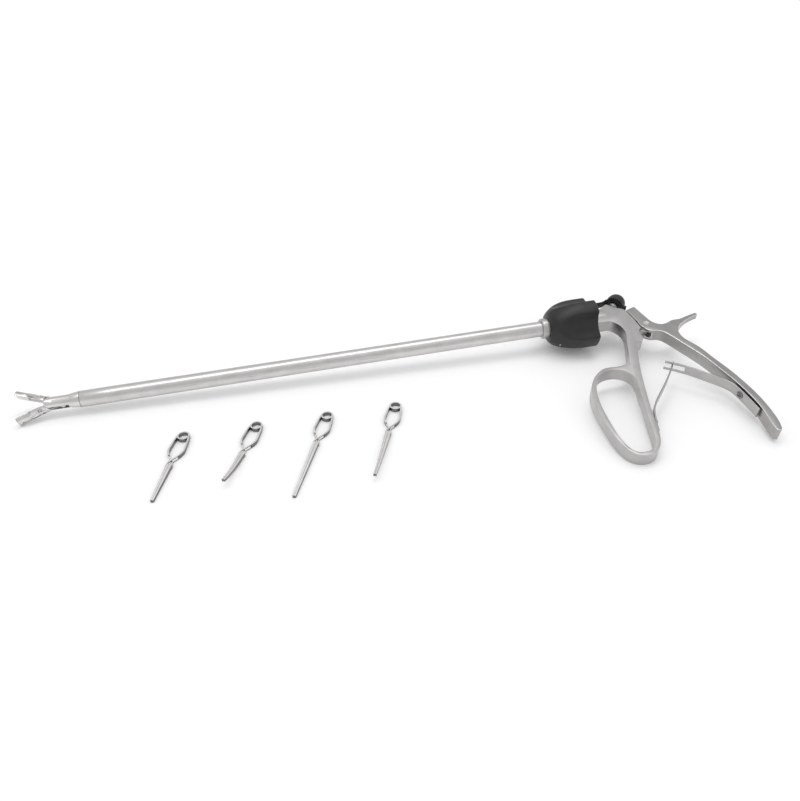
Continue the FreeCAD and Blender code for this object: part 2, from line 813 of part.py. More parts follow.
# Rubber strap: a ring round the barrel and a thin tongue to the cap.
strap = new_body("cap_strap")
strap_front = plate_front - 3.6
barrel_radius = size.barrel_dia / 2
strap_radius = barrel_radius + size.sliding + 2.4
sketch = new_sketch(strap)
add_polygon(sketch, (
    (strap_front, barrel_radius + size.running),
    (strap_front, strap_radius),
    (strap_front + 2.2, strap_radius),
    (strap_front + 2.2, barrel_radius + size.running),
))
revolve(strap, sketch)
cap_side = boss + port_way.multVec(
    FreeCAD.Vector(cap_foot + 1.2, (cap_radius + size.loose).value, 0))
strap_low = strap_front.value
strap_rise = strap_radius.value - 1.0
sketch = new_sketch(strap)
add_outline(
    sketch,
    ((strap_low, strap_rise), (strap_low + 0.6, strap_rise + 5.0), (42.5, 16.6),
     (cap_side.x - 0.4, cap_side.y + 0.7)),
    ((cap_side.x - 0.4, cap_side.y + 0.7), (cap_side.x - 0.9, cap_side.y - 0.6)),
    ((cap_side.x - 0.9, cap_side.y - 0.6), (43.4, 15.2), (strap_low + 2.3, strap_rise + 4.6),
     (strap_low + 1.9, strap_rise)),
    ((strap_low + 1.9, strap_rise), (strap_low, strap_rise)),
)
pad(strap, sketch, 4.0, symmetric=True)

# Squeeze lever: a forked head round the frame's tongue, a ball socket on the shaft axis, a
# spur for the thumb web and a long bar that tapers to its tail.
LEVER_BACK = grip((
    (79.4, -30.2), (79.9, -34.6), (83.9, -42.9), (87.4, -54.9), (91.0, -67.3), (93.6, -79.5),
    (95.1, -90.0), (95.6, -99.5), (95.2, -108.8), (94.2, -115.8), (92.9, -119.8),
))
LEVER_INNER = grip((
    (89.4, -119.6), (89.9, -113.0), (90.9, -106.0), (91.2, -99.5), (90.6, -90.0), (89.2, -80.0),
    (86.6, -68.4), (82.9, -54.4), (76.6, -39.0), (72.2, -28.9), (70.2, -25.6), (66.4, -23.6),
))
EYE = size.eye_radius.value + 0.1
lever = new_body("squeeze_lever")
sketch = new_sketch(lever)
head_way = FreeCAD.Vector(-math.sin(half_swing), math.cos(half_swing), 0)
head_side = FreeCAD.Vector(head_way.y, -head_way.x, 0)
socket = size.ball_dia.value / 2 + size.sliding.value + 1.2
head_top = size.pivot_drop.value / math.cos(half_swing) + 3.4
front_top = hinge + head_way * (head_top - 1.4) - head_side * socket
front_low = hinge + head_way * 3.4 - head_side * (EYE - 0.6)
rear_top = hinge + head_way * head_top + head_side * (socket - 0.6)
rear_low = hinge + head_way * 4.4 + head_side * (EYE - 0.5)
front_eye = hinge - X_AXIS * EYE
low_eye = hinge + FreeCAD.Vector(-EYE * 0.707, -EYE * 0.707, 0)
add_outline(
    sketch,
    ((front_low.x, front_low.y), (front_top.x, front_top.y)),
    ((front_top.x, front_top.y), (rear_top.x, rear_top.y)),
    ((rear_top.x, rear_top.y), (rear_low.x, rear_low.y)),
    ((rear_low.x, rear_low.y), (68.6, -15.0), (71.0, -17.2), (74.8, -17.9), (79.2, -16.4),
     (87.6, -13.4), (96.0, -10.8), (101.4, -9.4)),
    ((101.4, -9.4), (102.6, -10.8), (101.0, -11.9)),
    ((101.0, -11.9), (93.0, -14.9), (86.6, -18.9), (82.2, -23.4), (80.0, -27.2), LEVER_BACK[0]),
    LEVER_BACK,
    (LEVER_BACK[-1], (91.0, -121.2), LEVER_INNER[0]),
    LEVER_INNER,
    ((66.4, -23.6), (62.6, -22.4), (low_eye.x, low_eye.y)),
    ((low_eye.x, low_eye.y), (front_eye.x, front_eye.y), (front_low.x, front_low.y)),
)
pad(lever, sketch, size.plate, symmetric=True)
# The spur thins towards its tip on both faces.
for side in (1, -1):
    sketch = new_sketch(lever, at(FROM_SIDE, 0, -4.0))
    add_polygon(sketch, (
        (81.0, half_plate * side + 0.1 * side),
        (89.0, size.spur / 2 * side),
        (106.0, size.spur / 2 * side),
        (106.0, half_plate * side + 1.0 * side),
        (81.0, half_plate * side + 1.0 * side),
    ))
    pocket(lever, sketch, 23.0)
fork = size.tongue + size.sliding * 2
sketch = new_sketch(lever)
add_circle(sketch, hinge.x, hinge.y, size.eye_radius)
pocket(lever, sketch, fork, symmetric=True)
sketch = new_sketch(lever)
add_polygon(sketch, (
    (hinge.x - 9, hinge.y - 8.6),
    (hinge.x + 0.5, hinge.y - 8.6),
    (hinge.x + 0.5, hinge.y + 4.0),
    (hinge.x - 9, hinge.y + 4.0),
))
pocket(lever, sketch, fork, symmetric=True)
sketch = new_sketch(lever)
add_circle(sketch, hinge.x, hinge.y, size.pivot_pin_dia / 2)
pocket(lever, sketch, size.plate * 2, symmetric=True)
# Ball socket: a bore along the head, open at the top and slotted towards the shaft.
socket_start = size.pivot_drop.value - ball_radius.value - 1.6
sketch = new_sketch(lever, FreeCAD.Placement(
    hinge + head_way * socket_start, FreeCAD.Rotation(Z_AXIS, head_way)))
add_circle(sketch, 0, 0, ball_radius + size.sliding)
pocket(lever, sketch, 20)
neck_slot = [
    hinge + head_way * socket_start,
    hinge + head_way * (head_top + 2),
    hinge + head_way * (head_top + 2) - head_side * 8,
    hinge + head_way * socket_start - head_side * 8,
]
sketch = new_sketch(lever)
add_polygon(sketch, [(corner.x, corner.y) for corner in neck_slot])
pocket(lever, sketch, neck_radius * 2 + size.sliding * 4, symmetric=True)
pin(
    "lever_pivot_pin", size.pivot_pin_dia / 2, size.plate - 0.2, hinge, FreeCAD.Rotation())

# Leaf springs: each grip carries a strip, and the tongue of one passes through the fork of
# the other. Every strip is held flat at its root by a screw and bends from there on.
FRONT_LEAF = grip((
    (36.1, -83.0), (43.1, -75.9), (50.6, -68.0), (57.2, -60.4), (64.2, -51.6),
))
REAR_LEAF = grip((
    (85.6, -76.8), (79.0, -69.6), (71.8, -61.9), (64.4, -55.6), (58.2, -51.6),
))


def leaf_root(label, edge, low, high, share, outward):
    """The flat root of a leaf, on a straight chord of the grip's edge, and where it ends."""
    foot = point_on(edge, grip(((0, low),))[0][1])[0]
    top = point_on(edge, grip(((0, high),))[0][1])[0]
    way = vec(*top) - vec(*foot)
    way.normalize()
    normal = FreeCAD.Vector(way.y, -way.x, 0) * outward
    half = size.leaf.value / 2
    middle = vec(*top) + normal * (half + size.loose.value)
    body = new_body(label)
    turn = FreeCAD.Rotation(way, Z_AXIS, normal * outward, "ZXY")
    sketch = new_sketch(body, FreeCAD.Placement(middle, turn))
    length = (vec(*top) - vec(*foot)).Length
    width = size.leaf_width.value / 2
    add_outline(
        sketch,
        ((0, -width), (0, width)),
        ((0, width), (width - length, width)),
        ((width - length, width), (-length, 0), (width - length, -width)),
        ((width - length, -width), (0, -width)),
    )
    pad(body, sketch, size.leaf, symmetric=True)
    sketch = new_sketch(body, FreeCAD.Placement(middle, turn))
    add_circle(sketch, -length * share, 0, size.screw_dia / 2)
    pocket(body, sketch, size.leaf * 4, symmetric=True)
    screw_at = middle - way * (length * share)
    return middle, way, normal, screw_at


def leaf_blade(label, root, way, route):
    """The free part of a leaf: a strip along a smooth line from its root."""
    body = new_body(label)
    start = root + way * size.loose.value
    points = [start, start + way * 2.0] + [vec(*point) for point in route]
    centre = Part.BSplineCurve()
    centre.interpolate(points)
    half = size.leaf.value / 2
    sides = ([], [])
    steps = 7
    first, last = centre.FirstParameter, centre.LastParameter
    for step in range(steps + 1):
        place = first + (last - first) * step / steps
        along = centre.tangent(place)[0]
        normal = FreeCAD.Vector(-along.y, along.x, 0) * half
        middle = centre.value(place)
        sides[0].append(middle + normal)
        sides[1].append(middle - normal)
    back = list(reversed(sides[1]))
    sketch = new_sketch(body)
    add_outline(
        sketch,
        [(point.x, point.y) for point in sides[0]],
        ((sides[0][-1].x, sides[0][-1].y), (back[0].x, back[0].y)),
        [(point.x, point.y) for point in back],
        ((back[-1].x, back[-1].y), (sides[0][0].x, sides[0][0].y)),
    )
    pad(body, sketch, size.leaf_width, symmetric=True)
    return body


def leaf_screw(label, screw_at, normal, depth):
    """A low-headed screw through a leaf into its grip."""
    half = size.leaf / 2
    screw = turned(label, (
        (-half - depth, 0),
        (-half - depth, size.screw_dia / 2),
        (half, size.screw_dia / 2),
        (half, size.screw_head_dia / 2),
        (half + size.screw_head * 0.6, size.screw_head_dia / 2),
        (half + size.screw_head, size.screw_head_dia / 2 - 0.7),
        (half + size.screw_head, 0),
    ))
    screw.Placement = FreeCAD.Placement(screw_at, FreeCAD.Rotation(X_AXIS, normal))


def screw_hole(body, screw_at, normal, depth):
    """The hole in a grip for a leaf's screw."""
    start = screw_at - normal * (depth + size.leaf.value / 2)
    sketch = new_sketch(body, FreeCAD.Placement(start, FreeCAD.Rotation(Z_AXIS, normal)))
    add_circle(sketch, 0, 0, size.screw_dia / 2)
    pocket(body, sketch, depth + size.leaf.value)


screw_depth = 1.6
root, way, normal, screw_at = leaf_root("front_leaf_root", LOOP_REAR, -105.0, -92.0, 0.35, 1)
leaf_screw("front_leaf_screw", screw_at, normal, screw_depth)
screw_hole(frame, screw_at, normal, screw_depth)
front_hinge = root
blade = leaf_blade("front_leaf", root, way, FRONT_LEAF)
tongue_half = size.leaf_slot / 2 - size.loose
sketch = new_sketch(blade, at(IN_PLANE, 0, 0, tongue_half))
tip_zone = ((54.0, -66.0), (72.0, -66.0), (72.0, -45.0), (54.0, -45.0))
add_polygon(sketch, grip(tip_zone))
pocket(blade, sketch, size.leaf_width)
sketch = new_sketch(blade, at(IN_PLANE, 0, 0, -tongue_half))
add_polygon(sketch, grip(tip_zone))
pocket(blade, sketch, size.leaf_width, forward=False)

root, way, normal, screw_at = leaf_root("rear_leaf_root", LEVER_INNER, -103.0, -83.0, 0.2, -1)
leaf_screw("rear_leaf_screw", screw_at, normal, screw_depth)
screw_hole(lever, screw_at, normal, screw_depth)
rear_hinge = root
blade = leaf_blade("rear_leaf", root, way, REAR_LEAF)
sketch = new_sketch(blade)
fork_zone = ((50.0, -62.0), (68.5, -62.0), (68.5, -45.0), (50.0, -45.0))
add_polygon(sketch, grip(fork_zone))
pocket(blade, sketch, size.leaf_slot, symmetric=True)

# How the applier lies: on its jaw carrier's tip, a crest of the knob and the foot of the
# finger loop, so its pitch, height and roll follow from those three.
open_angle = math.radians(size.jaw_open.value)
shaft_angle = math.radians(size.shaft_turn.value)
tip_x = pivot.value - size.jaw_length.value * math.cos(open_angle)
tip_side = size.jaw_length.value * math.sin(open_angle)
jaw_radius = size.jaw_dia.value / 2
foot_x, foot_y = grip(((12.5, -121.6),))[0]
pitch = 0.0
roll = 0.0
for settle in range(12):
    axis_height = knob_radius.value * math.cos(pitch) - widest * math.sin(pitch)
    lean = math.sin(shaft_angle + roll)
    jaw_low = jaw_radius * math.hypot(math.cos(open_angle) * lean, math.cos(shaft_angle + roll))
    tip_low = tip_side * lean + jaw_low
    pitch = math.atan((axis_height / math.cos(pitch) - tip_low) / -tip_x)
    foot_arm = math.hypot(foot_y, half_plate.value)
    foot_rise = axis_height / math.cos(pitch) + foot_x * math.tan(pitch)
    roll = math.asin(foot_rise / foot_arm) - math.atan2(half_plate.value, -foot_y)
lie = FreeCAD.Rotation(Y_AXIS, -math.degrees(pitch)).multiply(
    FreeCAD.Rotation(X_AXIS, math.degrees(roll)))
rest = FreeCAD.Placement(FreeCAD.Vector(0, 0, axis_height), lie)
# The shaft lies turned in the handle, so its slots, pins and jaws are turned with it.
shaft_lie = FreeCAD.Placement(FreeCAD.Vector(), FreeCAD.Rotation(X_AXIS, size.shaft_turn.value))
for label in ("jaw_carrier", "jaw_pivot_pin", "jaw_left", "jaw_right", "pull_rod", "rod_drive_pin"):
    nodes[label].Placement = shaft_lie.multiply(nodes[label].Placement)
for node in nodes.values():
    node.Placement = rest.multiply(node.Placement)


def clamp_strip(points):
    """Both sides of a strip along a smooth line through the points."""
    centre = Part.BSplineCurve()
    centre.interpolate([vec(*point) for point in points])
    half = size.clamp_strip.value / 2
    sides = ([], [])
    steps = 12
    first, last = centre.FirstParameter, centre.LastParameter
    for step in range(steps + 1):
        place = first + (last - first) * step / steps
        along = centre.tangent(place)[0]
        middle = centre.value(place)
        sides[0].append((middle.x - along.y * half, middle.y + along.x * half))
        sides[1].append((middle.x + along.y * half, middle.y - along.x * half))
    return sides


def clamp_arm(label, side, length, rise, place):
    """One arm of a cross-action clamp: coil turn, shoulder, crossing and jaw on the far side.

    The arm with side 1 has its shoulder at negative y and passes through the other's window.
    """
    body = new_body(label)
    height = size.clamp_height
    half_height = height / 2
    coil = size.coil_dia / 2
    strip = size.clamp_strip
    shoulder = size.shoulder_width.value / 2 - strip.value / 2
    upper, lower = clamp_strip([(x, y * side) for x, y in (
        (0.0, -(coil - strip / 2).value), (4.0, -shoulder + 0.35), (9.0, -shoulder),
        (13.6, -shoulder), (15.4, -shoulder + 0.6), (20.4, -0.5), (22.6, 0.8), (26.5, 1.05),
    )])
    back = list(reversed(lower))
    sketch = new_sketch(body)
    add_outline(sketch, upper, (upper[-1], back[0]), back, (back[-1], upper[0]))
    pad(body, sketch, height)
    # Room for the other arm's coil turn.
    sketch = new_sketch(body, at(IN_PLANE, 0, 0, 0 if side > 0 else half_height - size.running))
    add_circle(sketch, 0, 0, coil + size.sliding)
    pocket(body, sketch, half_height + size.running)
    # Own coil turn.
    turn_low = half_height + size.running if side > 0 else dim(0)
    sketch = new_sketch(body, at(IN_PLANE, 0, 0, turn_low))
    add_circle(sketch, 0, 0, coil)
    add_circle(sketch, 0, 0, coil - strip)
    pad(body, sketch, half_height - size.running)
    # Jaw: a slim bar with its taper outside, level or rising to its tip.
    gap = size.running.value
    jaw_start = 24.4
    bar = size.clamp_jaw
    tip_height = height.value * 0.7
    far = gap + bar.value if side > 0 else -gap
    middle_x = (jaw_start + length) / 2
    sketch = new_sketch(body, at(FROM_SIDE, 0, far))
    add_outline(
        sketch,
        ((jaw_start, 0), (middle_x, rise * 0.3), (length, rise)) if rise
        else ((jaw_start, 0), (length, 0)),
        ((length, rise), (length, rise + tip_height)),
        ((length, rise + tip_height), (middle_x, rise * 0.3 + height.value * 0.86),
         (jaw_start, height.value)) if rise
        else ((length, tip_height), (jaw_start, height.value)),
        ((jaw_start, height.value), (jaw_start, 0)),
    )
    pad(body, sketch, bar)
    sketch = new_sketch(body)
    outer = gap + bar.value
    add_polygon(sketch, (
        (jaw_start + 2, (outer + 0.01) * side),
        (length + 1, (outer + 0.01) * side),
        (length + 1, (outer - 0.7) * side),
    ))
    pocket(body, sketch, height * 8, symmetric=True)
    # The crossing: a thin neck on one arm, a window in the other.
    zone = ((17.0, -6.0), (24.2, -6.0), (24.2, 6.0), (17.0, 6.0))
    neck = height * 0.42
    if side > 0:
        sketch = new_sketch(body, at(IN_PLANE, 0, 0, half_height + neck / 2))
        add_polygon(sketch, zone)
        pocket(body, sketch, height)
        sketch = new_sketch(body, at(IN_PLANE, 0, 0, half_height - neck / 2))
        add_polygon(sketch, zone)
        pocket(body, sketch, height, forward=False)
    else:
        sketch = new_sketch(body, at(IN_PLANE, 0, 0, half_height))
        add_polygon(sketch, zone)
        pocket(body, sketch, neck + size.loose, symmetric=True)
    body.Placement = place


# The four clamps lie in a row in front of the shaft, their jaws towards the viewer: two
# straight pairs and two whose jaws rise to the tip.
CLAMPS = (
    # length to the tip, rise of the tip, heading in plan
    (51.5, 0.0, -107.4),
    (51.0, 5.0, -112.7),
    (67.5, 0.0, -112.7),
    (64.5, 4.0, -112.0),
)
for number, (length, rise, heading) in enumerate(CLAMPS, start=1):
    x = -size.clamp_start.value + size.clamp_spacing.value * (number - 1)
    place = FreeCAD.Placement(
        vec(x, -size.clamp_row), FreeCAD.Rotation(Z_AXIS, heading))
    clamp_arm("clamp_%d_window_arm" % number, -1, length, rise, place)
    clamp_arm("clamp_%d_neck_arm" % number, 1, length, rise, place)

doc.recompute()
for item in doc.Objects:
    if "Invalid" in item.State or "Error" in item.State:
        raise RuntimeError("%s did not build: %s" % (item.Label, item.State))
for label, node in nodes.items():
    if node.Shape.isNull() or not node.Shape.isValid() or len(node.Shape.Solids) != 1:
        raise RuntimeError("%s is not one sound solid" % label)

# The whole set is centred over the origin and stands on the table at z = 0.
box = FreeCAD.BoundBox()
for node in nodes.values():
    box.add(node.Shape.optimalBoundingBox(False, False))
shift = FreeCAD.Placement(
    FreeCAD.Vector(-box.Center.x, -box.Center.y, -box.ZMin), FreeCAD.Rotation())
for node in nodes.values():
    node.Placement = shift.multiply(node.Placement)
doc.recompute()
for label, node in nodes.items():
    node.Shape.exportStep("parts/%s.step" % label)

# Joint places and the applier's axes in the finished frame.
finished = shift.multiply(rest)
PLACES = (
    ("shaft", vec(0, 0)),
    ("tube_tip", vec(-size.tube_reach, 0)),
    ("jaw_pivot", vec(pivot, 0)),
    ("lever_pivot", hinge),
    ("front_leaf_root", front_hinge),
    ("rear_leaf_root", rear_hinge),
    ("port", boss),
)
for name, place in PLACES:
    point = finished.multVec(place)
    print("place %s %.5f %.5f %.5f" % (name, point.x, point.y, point.z))
jaw_way = shaft_lie.Rotation.multVec(Z_AXIS)
port_axis = port_way.multVec(X_AXIS)
WAYS = (("x", X_AXIS), ("y", Y_AXIS), ("z", Z_AXIS), ("jaw", jaw_way), ("port", port_axis))
for name, way in WAYS:
    axis = lie.multVec(way)
    print("axis %s %.8f %.8f %.8f" % (name, axis.x, axis.y, axis.z))
for number in range(len(CLAMPS)):
    coil = nodes["clamp_%d_neck_arm" % (number + 1)].Placement.Base
    print("place clamp_%d %.5f %.5f %.5f" % (number + 1, coil.x, coil.y, coil.z))
print("rod travel %.6f for %.3f degrees" % (rod_travel, size.lever_travel.value))
print("box %.3f %.3f %.3f, %d nodes" % (box.XLength, box.YLength, box.ZLength, len(nodes)))
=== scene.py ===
import json
import math

import bmesh
import bpy
from mathutils import Matrix, Vector


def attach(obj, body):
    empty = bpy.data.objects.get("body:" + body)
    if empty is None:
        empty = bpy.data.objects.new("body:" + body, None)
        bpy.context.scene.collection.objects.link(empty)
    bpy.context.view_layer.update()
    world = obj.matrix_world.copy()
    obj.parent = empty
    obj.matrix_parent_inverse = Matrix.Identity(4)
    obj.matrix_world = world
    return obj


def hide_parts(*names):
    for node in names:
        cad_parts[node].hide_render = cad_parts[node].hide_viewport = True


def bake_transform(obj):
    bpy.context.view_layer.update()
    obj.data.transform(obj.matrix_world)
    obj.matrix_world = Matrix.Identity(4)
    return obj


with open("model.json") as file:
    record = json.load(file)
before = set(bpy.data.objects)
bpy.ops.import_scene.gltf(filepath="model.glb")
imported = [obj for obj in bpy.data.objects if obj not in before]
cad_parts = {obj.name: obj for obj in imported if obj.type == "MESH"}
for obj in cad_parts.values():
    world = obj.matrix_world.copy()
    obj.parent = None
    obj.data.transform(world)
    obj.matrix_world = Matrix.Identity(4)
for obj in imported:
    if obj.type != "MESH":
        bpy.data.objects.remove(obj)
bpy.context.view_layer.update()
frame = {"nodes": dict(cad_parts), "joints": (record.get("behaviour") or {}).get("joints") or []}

nodes = frame["nodes"]
joints = {joint["name"]: joint for joint in frame["joints"]}

# Shaft tube: a drawn stainless steel tube with a satin finish, 10 mm across. The jaw carrier
# plugs its front end and the turning knob grips its rear end.
shaft_way = Vector(joints["shaft_turn"]["axis"])
plate_normal = -Vector(joints["lever_squeeze"]["axis"])
plate_rise = plate_normal.cross(shaft_way)
applier = Matrix((shaft_way, plate_rise, plate_normal)).transposed().to_4x4()
applier.translation = Vector(joints["shaft_turn"]["pos_m"])
MM = 0.001
to_world = applier @ Matrix.Scale(MM, 4)


def link(name, data):
    """A new object in the scene."""
    piece = bpy.data.objects.new(name, data)
    bpy.context.scene.collection.objects.link(piece)
    return piece


def smoothed(mesh, corner):
    """Smooth shading with sharp edges past an angle in degrees."""
    for face in mesh.polygons:
        face.use_smooth = True
    mesh.set_sharp_from_angle(angle=math.radians(corner))
    return mesh


def turned_piece(name, profile, facets=96):
    """A piece turned about the shaft's axis from a closed profile of places and radii in mm."""
    build = bmesh.new()
    rings = []
    for step in range(facets):
        angle = 2 * math.pi * step / facets
        rings.append([
            build.verts.new((x, r * math.cos(angle), r * math.sin(angle))) for x, r in profile
        ])
    for step in range(facets):
        ring = rings[step]
        after = rings[(step + 1) % facets]
        for i in range(len(profile)):
            j = (i + 1) % len(profile)
            build.faces.new((ring[i], ring[j], after[j], after[i]))
    bmesh.ops.remove_doubles(build, verts=build.verts, dist=1e-5)
    bmesh.ops.recalc_face_normals(build, faces=build.faces)
    mesh = bpy.data.meshes.new(name)
    build.to_mesh(mesh)
    build.free()
    mesh.transform(to_world)
    return link(name, smoothed(mesh, 40.0))


def shader(name, socket_values):
    """A material with one Principled shader and constant values on its own sockets."""
    material = bpy.data.materials.new(name)
    material.use_nodes = True
    principled = material.node_tree.nodes["Principled BSDF"]
    for socket, value in socket_values.items():
        principled.inputs[socket].default_value = value
    return material, material.node_tree, principled


def along_way(tree, way, length, width):
    """Object coordinates stretched along a direction: one unit is length along it, width across."""
    place = tree.nodes.new("ShaderNodeTexCoord")
    mapping = tree.nodes.new("ShaderNodeMapping")
    mapping.vector_type = "TEXTURE"
    mapping.inputs["Rotation"].default_value = Vector(way).to_track_quat("X", "Z").to_euler()
    mapping.inputs["Scale"].default_value = (length * MM, width * MM, width * MM)
    tree.links.new(place.outputs["Object"], mapping.inputs["Vector"])
    return mapping.outputs["Vector"]


def noise(tree, vector, detail):
    """Noise one unit wide."""
    texture = tree.nodes.new("ShaderNodeTexNoise")
    texture.inputs["Scale"].default_value = 1.0
    texture.inputs["Detail"].default_value = detail
    tree.links.new(vector, texture.inputs["Vector"])
    return texture.outputs["Fac"]


def spread(tree, value, low, high):
    """A noise value brought into a range."""
    ranged = tree.nodes.new("ShaderNodeMapRange")
    ranged.inputs["From Min"].default_value = 0.3
    ranged.inputs["From Max"].default_value = 0.7
    ranged.inputs["To Min"].default_value = low
    ranged.inputs["To Max"].default_value = high
    tree.links.new(value, ranged.inputs["Value"])
    return ranged.outputs["Result"]


def tint(tree, value, low, high):
    """Two colours mixed by a noise value."""
    ramp = tree.nodes.new("ShaderNodeValToRGB")
    ramp.color_ramp.elements[0].position = 0.3
    ramp.color_ramp.elements[1].position = 0.7
    ramp.color_ramp.elements[0].color = (*low, 1)
    ramp.color_ramp.elements[1].color = (*high, 1)
    tree.links.new(value, ramp.inputs["Fac"])
    return ramp.outputs["Color"]


def relief(tree, principled, height, strength, depth):
    """A bump of a stated depth in mm."""
    bump = tree.nodes.new("ShaderNodeBump")
    bump.inputs["Strength"].default_value = strength
    bump.inputs["Distance"].default_value = depth * MM
    tree.links.new(height, bump.inputs["Height"])
    tree.links.new(bump.outputs["Normal"], principled.inputs["Normal"])


def satin_steel(name, way, tone, rough, grain):
    """Ground and brushed stainless steel with its grain along one direction."""
    material, tree, principled = shader(name, {"Metallic": 1.0})
    streaks = noise(tree, along_way(tree, way, *grain), 3.0)
    patches = noise(tree, along_way(tree, way, 9.0, 5.0), 4.0)
    darker = (tone * 0.92, tone * 0.905, tone * 0.885)
    lighter = (tone * 1.06, tone * 1.045, tone * 1.025)
    tree.links.new(tint(tree, patches, darker, lighter), principled.inputs["Base Color"])
    tree.links.new(spread(tree, streaks, *rough), principled.inputs["Roughness"])
    relief(tree, principled, streaks, 0.25, 0.02)
    return material


def dress(name, material):
    """Give a carried-over piece its finish."""
    slots = nodes[name].data.materials
    slots.clear()
    slots.append(material)


tube_steel = satin_steel("satin_tube_steel", shaft_way, 0.62, (0.26, 0.36), (3.0, 0.15))
tube_front, ring_front, tube_end = -291.4, -3.0, 27.0
tube_radius, seat_radius, tube_bore = 5.0, 4.8, 4.2
tube_lip = 0.45
tube = turned_piece("shaft_tube", [
    (tube_front, tube_bore), (tube_front, tube_radius - tube_lip),
    (tube_front + 0.12, tube_radius - 0.2), (tube_front + tube_lip, tube_radius),
] + [(x, tube_radius) for x in range(-270, -20, 30)] + [
    (ring_front, tube_radius), (ring_front, seat_radius), (tube_end, seat_radius),
    (tube_end, tube_bore),
])
tube.data.materials.append(tube_steel)
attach(tube, "shaft")
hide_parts("outer_tube")


# Jaw carrier: milled from stainless bar, polished and plugged into the tube. Its two ears
# hold the jaw pin, and their edges are broken by hand.
corner_angle, corner_rings = 35.0, 3


def smooth_copy(node, name, edge, reshape=None, edge_slot=-1):
    """A piece with the node's own shape, its corners rounded by edge in mm."""
    build = bmesh.new()
    build.from_mesh(nodes[node].data)
    bmesh.ops.remove_doubles(build, verts=build.verts, dist=2e-6)
    bmesh.ops.dissolve_limit(
        build, angle_limit=math.radians(0.6), verts=build.verts, edges=build.edges)
    if reshape:
        for corner_point in build.verts:
            corner_point.co = to_world @ reshape(to_world.inverted() @ corner_point.co)
    mesh = bpy.data.meshes.new(name)
    build.to_mesh(mesh)
    build.free()
    mesh.materials.clear()
    for _ in range(edge_slot + 1):
        mesh.materials.append(None)
    piece = link(name, mesh)
    bevel = piece.modifiers.new("rounding", "BEVEL")
    bevel.width = edge * MM
    bevel.segments = corner_rings
    bevel.limit_method = "ANGLE"
    bevel.angle_limit = math.radians(corner_angle)
    bevel.material = edge_slot
    bevel.use_clamp_overlap = True
    shaped = bpy.data.meshes.new_from_object(
        piece.evaluated_get(bpy.context.evaluated_depsgraph_get()))
    piece.modifiers.clear()
    piece.data = shaped
    smoothed(piece.data, corner_angle)
    return piece


def stand_for(piece, node, body, slot, *finishes):
    """The piece takes a node's place, with its finish, and one for its edges where it has two."""
    marks = [face.material_index for face in piece.data.polygons]
    piece.data.materials.clear()
    for finish in finishes:
        piece.data.materials.append(finish)
    for face, mark in zip(piece.data.polygons, marks):
        face.material_index = min(mark, len(finishes) - 1)
    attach(piece, body)
    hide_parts(node)


bright_steel = satin_steel("polished_tip_steel", shaft_way, 0.68, (0.16, 0.26), (2.0, 0.2))
stand_for(smooth_copy("jaw_carrier", "carrier_body", 0.12), "jaw_carrier", "shaft",
          "polished_steel", bright_steel)


# Jaws and the rod that drives them: two half-round stainless troughs, milled and polished,
# that swing on one pin. Each has a groove behind its tip block, teeth cut across the tip and
# a hole drilled in its flank.
def carved(piece, tools):
    """A piece with tools cut out of it."""
    for tool in tools:
        cut = piece.modifiers.new("cut", "BOOLEAN")
        cut.operation = "DIFFERENCE"
        cut.solver = "EXACT"
        cut.object = tool
    mesh = bpy.data.meshes.new_from_object(
        piece.evaluated_get(bpy.context.evaluated_depsgraph_get()))
    piece.modifiers.clear()
    piece.data = mesh
    for tool in tools:
        bpy.data.objects.remove(tool)
    return piece


jaw_radius, jaw_open = 3.6, math.radians(20.0)
groove_width, tooth_width, cut_depth = 0.5, 0.3, 0.3
cross_cuts = ((13.8, groove_width), (19.0, tooth_width), (19.9, tooth_width), (20.7, tooth_width))
hole_at, hole_radius, hole_depth, hole_lean = 7.6, 1.0, 1.2, math.radians(40.0)
for side in ("left", "right"):
    jaw = "jaw_" + side
    jaw_joint = joints[jaw + "_close"]
    hinge_way = Vector(jaw_joint["axis"])
    jaw_way = Matrix.Rotation(-jaw_open, 3, hinge_way) @ -shaft_way
    back_way = jaw_way.cross(hinge_way)
    jaw_place = Matrix((jaw_way, back_way, jaw_way.cross(back_way))).transposed().to_4x4()
    jaw_place.translation = Vector(jaw_joint["pos_m"])
    tools = []
    for number, (middle, width) in enumerate(cross_cuts):
        low, high = middle - width / 2, middle + width / 2
        floor, clear = jaw_radius - cut_depth, jaw_radius + 1
        tool = turned_piece("jaw_groove_%d" % number, (
            (low, floor), (low, clear), (high, clear), (high, floor)))
        tool.data.transform(jaw_place @ applier.inverted())
        tools.append(tool)
    drill = turned_piece("jaw_drill", (
        (-hole_depth, 0.0), (-hole_depth, hole_radius), (3.0, hole_radius), (3.0, 0.0)), 32)
    out_way = Vector((0, math.sin(hole_lean), math.cos(hole_lean)))
    if (jaw_place.to_3x3() @ out_way).z < 0:
        out_way.z = -out_way.z
    aim = (Matrix.Translation((Vector((hole_at, 0, 0)) + out_way * jaw_radius) * MM)
           @ out_way.to_track_quat("X", "Z").to_matrix().to_4x4())
    drill.data.transform(jaw_place @ aim @ applier.inverted())
    tools.append(drill)
    blade = carved(smooth_copy(jaw, "jaw_blade_" + side, 0.1), tools)
    smoothed(blade.data, corner_angle)
    stand_for(blade, jaw, jaw, "polished_steel", bright_steel)
for name in ("jaw_pivot_pin", "rod_drive_pin", "pull_rod", "rod_ball_end"):
    dress(name, bright_steel)


